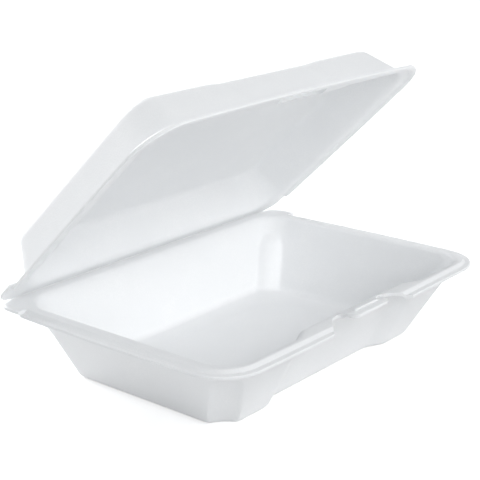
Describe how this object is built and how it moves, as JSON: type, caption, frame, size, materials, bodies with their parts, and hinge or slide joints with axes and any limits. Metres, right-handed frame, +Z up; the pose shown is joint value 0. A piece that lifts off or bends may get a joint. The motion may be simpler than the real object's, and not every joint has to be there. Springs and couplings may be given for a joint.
{
  "type": "foam hinged lid food container",
  "caption": "Shallow one-compartment foam tray with fluted corners, a finger recess and a locking tab, and a slotted lid joined along one long side by a living hinge.",
  "frame": {"origin": "centre of the tray's foot, on the surface that it stands on", "axes": "+X along the long side, -Y towards the opening edge with the tab, +Z up"},
  "size_m": [0.2362, 0.1698, 0.1626],
  "materials": {
    "foam": "matte white expanded foam with a faint skin sheen"
  },
  "bodies": {
    "tray": {"base_tray": "foam"},
    "lid": {"lid": "foam"}
  },
  "joints": [
    {"name": "lid_hinge", "type": "hinge", "parent": "tray", "child": "lid", "pos_m": [0, 0.07588, 0.045], "axis": [-1, 0, 0], "range_deg": [-43, 137]}
  ]
}
